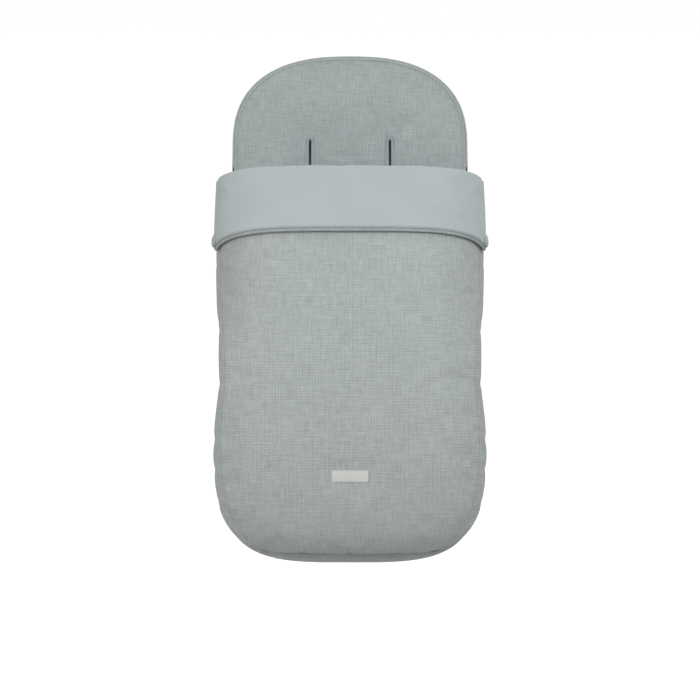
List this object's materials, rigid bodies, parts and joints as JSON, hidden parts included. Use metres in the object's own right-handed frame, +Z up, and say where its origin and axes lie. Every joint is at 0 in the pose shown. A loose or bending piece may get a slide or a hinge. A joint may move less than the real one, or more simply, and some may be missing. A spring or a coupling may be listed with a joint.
{
  "type": "stroller footmuff",
  "caption": "Padded footmuff for a pushchair seat: back mat with harness slots and a hood for the backrest, zip-on front cover and a turned-down cuff.",
  "frame": {"origin": "middle of the flat seat section, on the mat's underside", "axes": "+Z up, +Y towards the backrest, +X to the right of someone who faces the footmuff's front"},
  "size_m": [0.516, 0.6408, 0.8772],
  "materials": {
    "woven_cloth": "grey woven cloth",
    "smooth_cloth": "smooth bluish grey cloth",
    "wadding": "soft polyester wadding",
    "zip_tape": "grey zip tape",
    "zip_teeth": "grey moulded zip teeth",
    "zip_metal": "dull plated metal",
    "label_cloth": "off-white woven label, blank"
  },
  "bodies": {
    "mat": {"mat_backing": "smooth_cloth", "mat_wadding_leg": "wadding", "mat_wadding_seat": "wadding", "mat_wadding_back": "wadding", "mat_face": "woven_cloth", "mat_piping": "woven_cloth", "shoulder_slot_left": "smooth_cloth", "shoulder_slot_right": "smooth_cloth", "waist_slot_left": "smooth_cloth", "waist_slot_right": "smooth_cloth", "crotch_slot": "smooth_cloth", "hood": "smooth_cloth", "hood_hem": "smooth_cloth", "hood_band": "smooth_cloth", "mat_tape_left": "zip_tape", "mat_tape_right": "zip_tape", "mat_teeth_left": "zip_teeth", "mat_teeth_right": "zip_teeth", "zip_stop_left": "zip_metal", "zip_stop_right": "zip_metal"},
    "cover": {"cover_face": "woven_cloth", "cover_wadding": "wadding", "cover_lining": "smooth_cloth", "foot_piping": "woven_cloth", "label": "label_cloth", "cover_tape_left": "zip_tape", "cover_tape_right": "zip_tape", "cover_teeth_left": "zip_teeth", "cover_teeth_right": "zip_teeth", "snap_stud_left": "zip_metal", "snap_stud_right": "zip_metal"},
    "cuff": {"cuff_face": "woven_cloth", "cuff_wadding": "wadding", "cuff_lining": "smooth_cloth", "cuff_piping": "woven_cloth", "snap_cap_left": "smooth_cloth", "snap_cap_right": "smooth_cloth"},
    "slider_left": {"slider_left": "zip_metal"},
    "slider_right": {"slider_right": "zip_metal"},
    "pull_left": {"pull_left": "zip_metal"},
    "pull_right": {"pull_right": "zip_metal"}
  },
  "joints": [
    {"name": "cover_open", "type": "hinge", "parent": "mat", "child": "cover", "pos_m": [0, -0.21517, -0.36921], "axis": [1, 0, 0], "range_deg": [0, 110]},
    {"name": "cuff_fold", "type": "hinge", "parent": "cover", "child": "cuff", "pos_m": [0, -0.00321, 0.32885], "axis": [-1, 0, 0], "range_deg": [0, 165]},
    {"name": "zip_slide_left", "type": "slide", "parent": "mat", "child": "slider_left", "axis": [0, -0.4258, -0.9048], "range_m": [0, 0.17]},
    {"name": "pull_lift_left", "type": "hinge", "parent": "slider_left", "child": "pull_left", "pos_m": [-0.2408, 0.20324, 0.23318], "axis": [0, 0.9048, -0.4258], "range_deg": [0, 150]},
    {"name": "zip_slide_right", "type": "slide", "parent": "mat", "child": "slider_right", "axis": [0, -0.4258, -0.9048], "range_m": [0, 0.17]},
    {"name": "pull_lift_right", "type": "hinge", "parent": "slider_right", "child": "pull_right", "pos_m": [0.2408, 0.20324, 0.23318], "axis": [0, -0.9048, 0.4258], "range_deg": [0, 150]}
  ]
}
